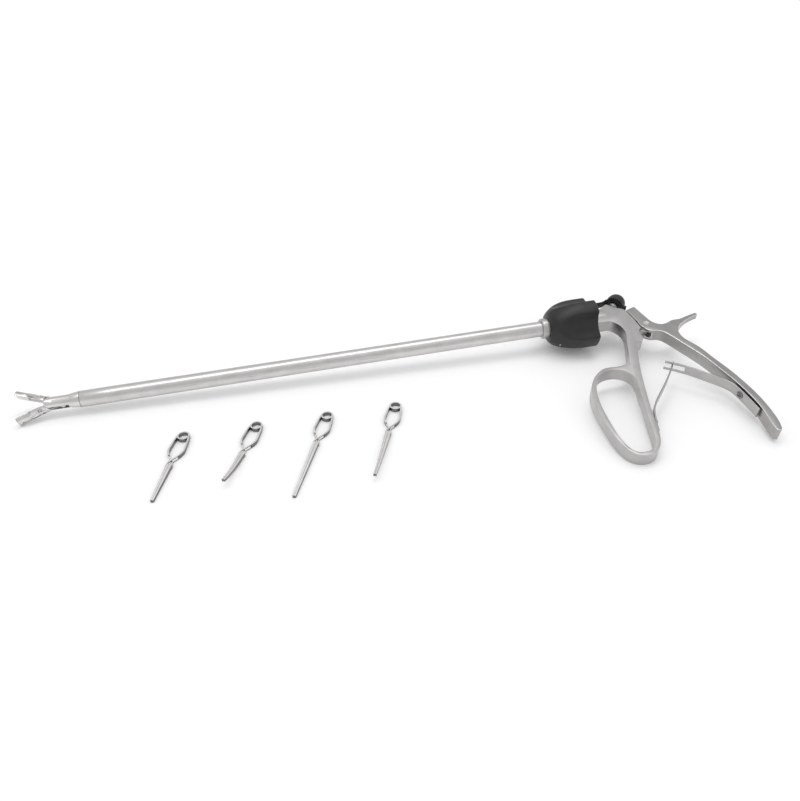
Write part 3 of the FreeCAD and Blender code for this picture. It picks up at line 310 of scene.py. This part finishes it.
# Turning knob: moulded black plastic with a fine grain and four finger scallops. A turned
# steel ring closes its nose, and a set screw clamps it to the tube.
def black_moulding(name, tone, rough, grain, depth):
    """Black plastic or rubber with a fine moulded grain."""
    material, tree, principled = shader(name, {"Specular IOR Level": 0.45})
    fine = noise(tree, along_way(tree, shaft_way, grain, grain), 3.0)
    broad = noise(tree, along_way(tree, shaft_way, 7.0, 7.0), 4.0)
    darker = (tone * 0.8, tone * 0.8, tone * 0.82)
    lighter = (tone * 1.25, tone * 1.25, tone * 1.28)
    tree.links.new(tint(tree, broad, darker, lighter), principled.inputs["Base Color"])
    tree.links.new(spread(tree, broad, *rough), principled.inputs["Roughness"])
    relief(tree, principled, fine, 0.4, depth)
    return material


def node_tree(name, inputs):
    """A geometry node tree with named inputs, its last two nodes, and a way to add more."""
    tree = bpy.data.node_groups.new(name, "GeometryNodeTree")
    tree.interface.new_socket("Base", in_out="INPUT", socket_type="NodeSocketGeometry")
    for label, value in inputs.items():
        tree.interface.new_socket(
            label, in_out="INPUT", socket_type="NodeSocketFloat").default_value = value
    tree.interface.new_socket("Finish", in_out="INPUT", socket_type="NodeSocketMaterial")
    tree.interface.new_socket("Piece", in_out="OUTPUT", socket_type="NodeSocketGeometry")
    given = tree.nodes.new("NodeGroupInput")
    real = tree.nodes.new("GeometryNodeRealizeInstances")
    finish = tree.nodes.new("GeometryNodeSetMaterial")
    result = tree.nodes.new("NodeGroupOutput")
    tree.links.new(real.outputs["Geometry"], finish.inputs["Geometry"])
    tree.links.new(given.outputs["Finish"], finish.inputs["Material"])
    tree.links.new(finish.outputs["Geometry"], result.inputs["Piece"])
    return tree, given, real.inputs["Geometry"]


def reckon(tree, operation, *values):
    """One sum in a node tree, from sockets and plain numbers."""
    sum_node = tree.nodes.new("ShaderNodeMath")
    sum_node.operation = operation
    for socket, value in zip(sum_node.inputs, values):
        if isinstance(value, (int, float)):
            socket.default_value = value
        else:
            tree.links.new(value, socket)
    return sum_node.outputs["Value"]


def grown(tree, base, material, **sizes):
    """The plain mesh that a node tree makes of an object, which is then removed."""
    modifier = base.modifiers.new(tree.name, "NODES")
    modifier.node_group = tree
    sockets = {
        item.name: item.identifier for item in tree.interface.items_tree
        if item.in_out == "INPUT"
    }
    modifier[sockets["Finish"]] = material
    for label, value in sizes.items():
        modifier[sockets[label]] = float(value)
    mesh = bpy.data.meshes.new_from_object(
        base.evaluated_get(bpy.context.evaluated_depsgraph_get()))
    base.modifiers.clear()
    bpy.data.objects.remove(base)
    return mesh


def scalloped():
    """Four hollows along the knob, each an arc about a centre outside it, with soft crests."""
    tree, given, out = node_tree("finger_scallops", {
        "Turn": 30.0, "Centre": 26.4, "Hollow": 14.0, "Softness": 0.8, "Rim": 30.7, "Rounding": 1.5,
    })
    sizes = given.outputs
    place = tree.nodes.new("GeometryNodeInputPosition")
    split = tree.nodes.new("ShaderNodeSeparateXYZ")
    tree.links.new(place.outputs["Position"], split.inputs[0])
    x, y, z = split.outputs
    down = reckon(tree, "MULTIPLY", z, -1.0)
    aside = reckon(tree, "MULTIPLY", y, -1.0)
    angle = reckon(tree, "SUBTRACT", reckon(tree, "ARCTAN2", aside, down),
                   reckon(tree, "RADIANS", sizes["Turn"]))
    quarter = math.pi / 2
    angle = reckon(tree, "WRAP", angle, quarter / 2, -quarter / 2)
    across = reckon(tree, "MULTIPLY", reckon(tree, "SINE", angle), sizes["Centre"])
    depth = reckon(tree, "SUBTRACT", reckon(tree, "MULTIPLY", sizes["Hollow"], sizes["Hollow"]),
                   reckon(tree, "MULTIPLY", across, across))
    depth = reckon(tree, "SQRT", reckon(tree, "MAXIMUM", depth, 0.0))
    floor = reckon(tree, "SUBTRACT",
                   reckon(tree, "MULTIPLY", reckon(tree, "COSINE", angle), sizes["Centre"]), depth)
    past = reckon(tree, "MAXIMUM", reckon(tree, "SUBTRACT", x, sizes["Rim"]), 0.0)
    rest = reckon(tree, "SUBTRACT", reckon(tree, "MULTIPLY", sizes["Rounding"], sizes["Rounding"]),
                  reckon(tree, "MULTIPLY", past, past))
    rest = reckon(tree, "SQRT", reckon(tree, "MAXIMUM", rest, 0.0))
    floor = reckon(tree, "SUBTRACT", floor, reckon(tree, "SUBTRACT", sizes["Rounding"], rest))
    radius = reckon(tree, "SQRT", reckon(tree, "ADD", reckon(tree, "MULTIPLY", y, y),
                                         reckon(tree, "MULTIPLY", z, z)))
    trimmed = reckon(tree, "SMOOTH_MIN", radius, floor, sizes["Softness"])
    share = reckon(tree, "DIVIDE", trimmed, reckon(tree, "MAXIMUM", radius, 0.01))
    joined = tree.nodes.new("ShaderNodeCombineXYZ")
    tree.links.new(x, joined.inputs["X"])
    tree.links.new(reckon(tree, "MULTIPLY", y, share), joined.inputs["Y"])
    tree.links.new(reckon(tree, "MULTIPLY", z, share), joined.inputs["Z"])
    moved = tree.nodes.new("GeometryNodeSetPosition")
    tree.links.new(given.outputs["Base"], moved.inputs["Geometry"])
    tree.links.new(joined.outputs["Vector"], moved.inputs["Position"])
    tree.links.new(moved.outputs["Geometry"], out)
    return tree


knob_plastic = black_moulding("grained_black_plastic", 0.015, (0.33, 0.45), 0.35, 0.03)
nose, widest, rim, knob_end, rounding = 1.5, 23.0, 30.7, 32.3, 1.5
nose_radius, knob_radius, ring_radius, nose_edge = 8.4, 17.3, 6.6, 0.3
ogive_steps = 28
profile = [(nose + 1.0, seat_radius), (nose + 1.0, ring_radius), (nose, ring_radius),
           (nose, nose_radius - 0.4), (nose + nose_edge, nose_radius)]
for step in range(1, ogive_steps + 1):
    x = nose + nose_edge + (widest - nose - nose_edge) * (step / ogive_steps) ** 1.2
    bulge = 1 - ((widest - x) / (widest - nose)) ** 2
    profile.append((x, nose_radius + (knob_radius - nose_radius) * bulge ** 0.72))
profile += [(widest + step, knob_radius) for step in (1.5, 3.0, 4.5, 6.0, 7.7)]
for step in range(1, 7):
    lean = math.pi / 2 * step / 6
    profile.append((rim + (knob_end - rim) * math.sin(lean),
                    knob_radius - rounding * (1 - math.cos(lean))))
profile += [(knob_end, radius) for radius in (15.0, 14.0, 13.0, 12.0, 11.0, 10.0, seat_radius)]
knob = turned_piece("knob_blank", profile, 192)
knob.data.transform(to_world.inverted())
knob = link("knob_body", smoothed(grown(scalloped(), knob, knob_plastic), 50.0))
knob.data.transform(to_world)
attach(knob, "shaft")
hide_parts("turning_knob")
ring_steel = satin_steel("turned_ring_steel", shaft_way, 0.5, (0.3, 0.42), (1.0, 0.3))
stand_for(smooth_copy("knob_nose_ring", "knob_ring", 0.4), "knob_nose_ring", "shaft",
          "polished_steel", ring_steel)
for name in ("knob_set_screw", "shaft_spigot", "snap_ring"):
    dress(name, bright_steel)

# Seals, flushing cap and strap: moulded black silicone rubber with a slight bloom. The
# strap's ring sits on the handle's barrel behind the knob, and its tongue holds the cap.
seal_rubber = black_moulding("black_silicone_rubber", 0.018, (0.34, 0.46), 0.5, 0.03)
for name in ("shaft_seal", "rod_seal"):
    dress(name, seal_rubber)
stand_for(smooth_copy("flush_cap", "cap_body", 0.5), "flush_cap", "flush_cap", "rubber",
          seal_rubber)


def bent_strip():
    """A strip with rounded corners, swept along a path in one plane between two shares of it."""
    tree, given, out = node_tree("bent_strip", {
        "Width": 6.4, "Thickness": 1.0, "Corner": 0.3, "Offset": 0.0, "Step": 0.7,
        "From": 0.0, "To": 1.0,
    })

    def node(kind, **settings):
        made = tree.nodes.new(kind)
        for key, value in settings.items():
            setattr(made, key, value)
        return made

    cut = node("GeometryNodeTrimCurve", mode="FACTOR")
    even = node("GeometryNodeResampleCurve", mode="LENGTH")
    level = node("GeometryNodeSetCurveNormal", mode="Z_UP")
    section = node("GeometryNodeCurvePrimitiveQuadrilateral", mode="RECTANGLE")
    rounded = node("GeometryNodeFilletCurve", mode="POLY")
    rounded.inputs["Count"].default_value = 3
    moved = node("GeometryNodeTransform")
    shift = node("ShaderNodeCombineXYZ")
    sweep = node("GeometryNodeCurveToMesh")
    sweep.inputs["Fill Caps"].default_value = True
    for source, target in (
        (given.outputs["Base"], cut.inputs["Curve"]), (given.outputs["From"], cut.inputs["Start"]),
        (given.outputs["To"], cut.inputs["End"]), (cut.outputs["Curve"], even.inputs["Curve"]),
        (given.outputs["Step"], even.inputs["Length"]), (even.outputs["Curve"], level.inputs["Curve"]),
        (level.outputs["Curve"], sweep.inputs["Curve"]),
        (given.outputs["Thickness"], section.inputs["Width"]),
        (given.outputs["Width"], section.inputs["Height"]),
        (section.outputs["Curve"], rounded.inputs["Curve"]),
        (given.outputs["Corner"], rounded.inputs["Radius"]),
        (given.outputs["Offset"], shift.inputs["Y"]),
        (rounded.outputs["Curve"], moved.inputs["Geometry"]),
        (shift.outputs["Vector"], moved.inputs["Translation"]),
        (moved.outputs["Geometry"], sweep.inputs["Profile Curve"]), (sweep.outputs["Mesh"], out),
    ):
        tree.links.new(source, target)
    return tree


def strip_along(name, route, material, *stretches):
    """A piece of bent strip in the plane of the handle: each stretch gives its own sizes."""
    build = bmesh.new()
    for sizes in stretches:
        curve = bpy.data.curves.new(name, "CURVE")
        curve.dimensions = "3D"
        spline = curve.splines.new("NURBS")
        spline.points.add(len(route) - 1)
        for point, (x, y) in zip(spline.points, route):
            point.co = (x, y, 0, 1)
        spline.order_u = 3
        spline.use_endpoint_u = True
        spline.resolution_u = 12
        build.from_mesh(grown(strip_tree, link(name + "_path", curve), material, **sizes))
    bmesh.ops.remove_doubles(build, verts=build.verts, dist=1e-4)
    mesh = bpy.data.meshes.new(name)
    build.to_mesh(mesh)
    build.free()
    mesh.materials.append(material)
    mesh.transform(to_world)
    return link(name, smoothed(mesh, 40.0))


def join_meshes(piece, *others):
    """One piece of several, which lie in the same frame."""
    build = bmesh.new()
    for part in (piece, *others):
        build.from_mesh(part.data)
    build.to_mesh(piece.data)
    build.free()
    for part in others:
        bpy.data.objects.remove(part)
    return piece


strip_tree = bent_strip()
barrel_radius, barrel_front = 5.5, 32.6
strap = strip_along("strap_body", (
    (33.2, 7.2), (33.5, 11.2), (35.6, 14.6), (40.0, 15.5), (45.0, 15.3), (48.8, 16.1),
    (50.9, 17.7),
), seal_rubber, {"Width": 4.4, "Thickness": 1.2, "Corner": 0.45})
collar_bore, collar_radius, collar_width = barrel_radius + 0.05, 8.2, 0.9
collar = turned_piece("strap_collar", (
    (barrel_front, collar_bore), (barrel_front, 7.9), (barrel_front + 0.2, collar_radius),
    (barrel_front + 0.7, collar_radius), (barrel_front + collar_width, 7.9),
    (barrel_front + collar_width, collar_bore),
))
join_meshes(strap, collar)
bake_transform(strap)
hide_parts("cap_strap")

# Handle frame and squeeze lever: cut from 8 mm stainless plate, their edges rounded on a belt
# and the faces given a satin grain along the grips.
grip_way = applier.to_3x3() @ Vector((0.35, -1.0, 0.0))
bar_way = applier.to_3x3() @ Vector((0.25, -1.0, 0.0))
frame_steel = satin_steel("satin_frame_steel", grip_way, 0.5, (0.28, 0.4), (5.0, 0.12))
lever_steel = satin_steel("satin_lever_steel", bar_way, 0.4, (0.28, 0.4), (5.0, 0.12))
# The rounded edges are buffed smoother, and their lighter colour is a painted highlight along every
# edge.
edge_highlight_steel = satin_steel("buffed_edge_steel", grip_way, 0.8, (0.18, 0.26), (4.0, 0.2))
plate_front, plate_top, front_slant = 40.6, 6.7, 0.504


def slant_front(place):
    """The plate's front edge runs forward below the barrel, close behind the knob."""
    if abs(place.x - plate_front) < 0.02:
        place.x -= (plate_top - place.y) * front_slant
    return place


stand_for(smooth_copy("handle_frame", "frame_plate", 0.45, reshape=slant_front, edge_slot=1),
          "handle_frame", "handle", "satin_steel", frame_steel, edge_highlight_steel)
stand_for(smooth_copy("squeeze_lever", "lever_bar", 0.45, edge_slot=1), "squeeze_lever",
          "lever", "satin_steel", lever_steel, edge_highlight_steel)
dress("lever_pivot_pin", bright_steel)
stand_for(smooth_copy("flush_port", "port_stub", 0.1), "flush_port", "handle", "polished_steel",
          bright_steel)

# Leaf springs: two strips of hard spring steel, each held flat on its grip by one slotted
# screw. The narrow tongue of the front one passes between the two prongs of the rear one.
leaf_steel = satin_steel("ground_spring_steel", grip_way, 0.46, (0.24, 0.32), (4.0, 0.03))
leaf_width, tongue_width, prong_width, prong_offset = 6.4, 2.8, 1.5, 2.45
front_foot, front_hinge = Vector((26.55, -105.2, 0.0)), Vector((29.95, -92.2, 0.0))
rear_foot, rear_hinge = Vector((90.0, -103.2, 0.0)), Vector((88.82, -83.06, 0.0))
front_shoulder, rear_shoulder, bend_length = 0.765, 0.81, 7.0
front_leaf = strip_along(
    "front_leaf_strip",
    (front_foot[:2], front_hinge[:2], (36.1, -83.0), (43.1, -75.9), (50.6, -68.0), (57.2, -60.4),
     (64.2, -51.6)),
    leaf_steel, {"Width": leaf_width, "To": front_shoulder},
    {"Width": tongue_width, "From": front_shoulder})
rear_leaf = strip_along(
    "rear_leaf_strip",
    (rear_foot[:2], rear_hinge[:2], (85.6, -76.8), (79.0, -69.6), (71.8, -61.9), (64.4, -55.6),
     (58.2, -51.6)),
    leaf_steel, {"Width": leaf_width, "To": rear_shoulder},
    {"Width": prong_width, "From": rear_shoulder, "Offset": prong_offset},
    {"Width": prong_width, "From": rear_shoulder, "Offset": -prong_offset})
for leaf, grip_body, foot, bend in ((front_leaf, "handle", front_foot, front_hinge),
                                    (rear_leaf, "lever", rear_foot, rear_hinge)):
    node = leaf.name.replace("_strip", "")
    way = (bend - foot).normalized()
    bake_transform(leaf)
    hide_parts(node, node + "_root")


def slotted_screw():
    """A screw along z from its seat: a domed head with a driver's slot, and its shank."""
    tree, given, out = node_tree("slotted_screw", {
        "Head": 2.3, "Height": 1.5, "Dome": 3.4, "Shank": 1.2, "Depth": 2.6, "Slot": 0.6,
    })
    sizes = given.outputs

    def lifted(mesh, height):
        """A mesh node's output moved up by a height."""
        raised = tree.nodes.new("GeometryNodeTransform")
        up = tree.nodes.new("ShaderNodeCombineXYZ")
        tree.links.new(height, up.inputs["Z"])
        tree.links.new(up.outputs["Vector"], raised.inputs["Translation"])
        tree.links.new(mesh, raised.inputs["Geometry"])
        return raised.outputs["Geometry"]

    def combined(operation, base, *others):
        made = tree.nodes.new("GeometryNodeMeshBoolean")
        made.operation = operation
        if operation == "DIFFERENCE":
            tree.links.new(base, made.inputs["Mesh 1"])
        else:
            others = (base, *others)
        for other in others:
            tree.links.new(other, made.inputs["Mesh 2"])
        return made.outputs["Mesh"]

    head = tree.nodes.new("GeometryNodeMeshCylinder")
    head.inputs["Vertices"].default_value = 40
    tree.links.new(sizes["Head"], head.inputs["Radius"])
    tree.links.new(sizes["Height"], head.inputs["Depth"])
    dome = tree.nodes.new("GeometryNodeMeshUVSphere")
    dome.inputs["Segments"].default_value = 40
    dome.inputs["Rings"].default_value = 40
    tree.links.new(sizes["Dome"], dome.inputs["Radius"])
    shank = tree.nodes.new("GeometryNodeMeshCylinder")
    shank.inputs["Vertices"].default_value = 32
    tree.links.new(sizes["Shank"], shank.inputs["Radius"])
    tree.links.new(sizes["Depth"], shank.inputs["Depth"])
    slot = tree.nodes.new("GeometryNodeMeshCube")
    span = tree.nodes.new("ShaderNodeCombineXYZ")
    span.inputs["X"].default_value = 12.0
    tree.links.new(sizes["Slot"], span.inputs["Y"])
    tree.links.new(sizes["Height"], span.inputs["Z"])
    tree.links.new(span.outputs["Vector"], slot.inputs["Size"])
    dome_low = reckon(tree, "SUBTRACT", sizes["Height"], sizes["Dome"])
    rounded = combined("INTERSECT", lifted(head.outputs["Mesh"],
                                           reckon(tree, "MULTIPLY", sizes["Height"], 0.5)),
                       lifted(dome.outputs["Mesh"], dome_low))
    shank_low = reckon(tree, "MULTIPLY", sizes["Depth"], -0.45)
    whole = combined("UNION", rounded, lifted(shank.outputs["Mesh"], shank_low))
    tree.links.new(combined("DIFFERENCE", whole, lifted(slot.outputs["Mesh"], sizes["Height"])), out)
    return tree


screw_tree = slotted_screw()
# The screws' dark colour is painted shade, standing for the shade in their slots and around their
# heads.
shade_painted_screw_steel = satin_steel("darker_screw_steel", shaft_way, 0.24, (0.2, 0.3), (1.0, 1.0))
leaf_half = 0.5
for name, body, foot, bend, below, out, turn in (
    ("front_leaf_screw", "handle", front_foot, front_hinge, 4.7, 1, 35.0),
    ("rear_leaf_screw", "lever", rear_foot, rear_hinge, 4.0, -1, 20.0),
):
    way = (bend - foot).normalized()
    normal = Vector((way.y, -way.x, 0.0)) * out
    blank = link(name + "_blank", bpy.data.meshes.new(name))
    screw = link(name + "_head", smoothed(grown(screw_tree, blank, shade_painted_screw_steel), 30.0))
    screw.data.transform(Matrix.Rotation(math.radians(turn), 4, "Z"))
    seat = Matrix.Translation(bend - way * below + normal * leaf_half)
    screw.data.transform(to_world @ seat @ normal.to_track_quat("Z", "Y").to_matrix().to_4x4())
    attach(screw, body)
    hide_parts(name)

# Bulldog clamps: each is one strip of spring steel coiled once, whose two legs cross through
# each other and end in slim jaws. Faces are coloured by slope as painted light: the smooth tops a
# painted highlight, the bevelled edges painted shade lines, the sides painted shade.
painted_highlight_top = satin_steel("polished_clamp_top", (1, 0, 0), 0.9, (0.1, 0.18), (1.5, 0.3))
painted_shade_edge = satin_steel("dark_clamp_edge", (1, 0, 0), 0.1, (0.2, 0.3), (1.5, 0.3))
painted_shade_side = satin_steel("rolled_clamp_face", (0, 0, 1), 0.2, (0.12, 0.22), (1.5, 0.3))
highlight_slope, shade_edge_slope = 0.93, 0.25
for number in range(1, 5):
    for arm, body in (("window", "clamp_%d"), ("neck", "clamp_%d_arm")):
        node = "clamp_%d_%s_arm" % (number, arm)
        piece = smooth_copy(node, node + "_steel", 0.3)
        for face in piece.data.polygons:
            # each face's slope picks its painted light: highlight on top, shade on the edges and on
            # the sides
            upright = abs(face.normal.z)
            face.material_index = 0 if upright > highlight_slope else 1 if upright > shade_edge_slope else 2
        stand_for(piece, node, body % number, "clamp_steel", painted_highlight_top, painted_shade_edge, painted_shade_side)

# The table, the light and the camera: a white sheet under a large soft box. The sheet keeps
# the soft shadows near the object and stays white to its edges.
shadow_end, white_from, sheet_lift = 0.28, 0.55, 0.07
floor_mesh = bpy.data.meshes.new("table_top")
build = bmesh.new()
bmesh.ops.create_grid(build, x_segments=1, y_segments=1, size=4.0)
build.to_mesh(floor_mesh)
build.free()
table = link("table_top", floor_mesh)
material, tree, principled = shader("white_table", {"Roughness": 0.9, "Specular IOR Level": 0.1})


def looked_at(tree):
    """One for what the camera sees, directly or in metal, and none for light on its way."""
    path = tree.nodes.new("ShaderNodeLightPath")
    seen = reckon(tree, "MAXIMUM", path.outputs["Is Camera Ray"], path.outputs["Is Glossy Ray"])
    return reckon(tree, "MAXIMUM", seen, path.outputs["Is Transmission Ray"])


def mixed(tree, share, low, high):
    """A colour between two, each a socket or three plain numbers."""
    colour = tree.nodes.new("ShaderNodeMix")
    colour.data_type = "RGBA"
    tree.links.new(share, colour.inputs[0])
    for socket, value in ((colour.inputs[6], low), (colour.inputs[7], high)):
        if isinstance(value, tuple):
            socket.default_value = (*value, 1)
        else:
            tree.links.new(value, socket)
    return colour.outputs[2]


seen = looked_at(tree)
tree.links.new(mixed(tree, seen, (0.78, 0.78, 0.78), (1.0, 1.0, 1.0)),
               principled.inputs["Base Color"])
place = tree.nodes.new("ShaderNodeTexCoord")
reach = tree.nodes.new("ShaderNodeVectorMath")
reach.operation = "LENGTH"
tree.links.new(place.outputs["Object"], reach.inputs[0])
far = tree.nodes.new("ShaderNodeMapRange")
far.inputs["From Min"].default_value = shadow_end
far.inputs["From Max"].default_value = white_from
tree.links.new(reach.outputs["Value"], far.inputs["Value"])
glow = tree.nodes.new("ShaderNodeEmission")
blend = tree.nodes.new("ShaderNodeMixShader")
tree.links.new(reckon(tree, "MULTIPLY", far.outputs["Result"], seen), blend.inputs[0])
tree.links.new(principled.outputs[0], blend.inputs[1])
tree.links.new(glow.outputs[0], blend.inputs[2])
lift = tree.nodes.new("ShaderNodeEmission")
tree.links.new(reckon(tree, "MULTIPLY", seen, sheet_lift), lift.inputs["Strength"])
both = tree.nodes.new("ShaderNodeAddShader")
tree.links.new(blend.outputs[0], both.inputs[0])
tree.links.new(lift.outputs[0], both.inputs[1])
tree.links.new(both.outputs[0], tree.nodes["Material Output"].inputs["Surface"])
table.data.materials.append(material)

world = bpy.data.worlds.new("studio")
bpy.context.scene.world = world
world.use_nodes = True
tree = world.node_tree
background = tree.nodes["Background"]
place = tree.nodes.new("ShaderNodeTexCoord")
split = tree.nodes.new("ShaderNodeSeparateXYZ")
ramp = tree.nodes.new("ShaderNodeValToRGB")
ramp.color_ramp.elements[0].position = 0.0
ramp.color_ramp.elements[0].color = (0.78, 0.78, 0.78, 1)
ramp.color_ramp.elements[1].position = 1.0
ramp.color_ramp.elements[1].color = (0.95, 0.95, 0.96, 1)
middle = ramp.color_ramp.elements.new(0.6)
middle.color = (0.68, 0.68, 0.69, 1)
tree.links.new(place.outputs["Generated"], split.inputs[0])
tree.links.new(split.outputs["Z"], ramp.inputs["Fac"])
path = tree.nodes.new("ShaderNodeLightPath")
tree.links.new(mixed(tree, path.outputs["Is Camera Ray"], ramp.outputs["Color"], (1.0, 1.0, 1.0)),
               background.inputs["Color"])
background.inputs["Strength"].default_value = 1.0


lamp = bpy.data.lights.new("overhead_box", "AREA")
lamp.shape = "RECTANGLE"
lamp.size = 1.4
lamp.size_y = 0.4
lamp.energy = 3.5
soft_box = link("overhead_box", lamp)
soft_box.location = (-0.05, 0.15, 1.2)
soft_box.rotation_euler = (-soft_box.location).to_track_quat("-Z", "Y").to_euler()

view = bpy.data.cameras.new("photo_camera")
view.lens = 32.944
view.sensor_width = 36.0
view.clip_start = 0.01
camera = link("photo_camera", view)
look = Vector((0.169953, 0.781615, -0.600162)).normalized()
up = Vector((0.136826, 0.584407, 0.799842))
right = look.cross(up).normalized()
turn = Matrix((right, right.cross(look), -look)).transposed().to_4x4()
turn.translation = Vector((-0.06802, -0.33180, 0.26762))
camera.matrix_world = turn
bpy.context.scene.camera = camera
bpy.context.scene.view_settings.view_transform = "Standard"
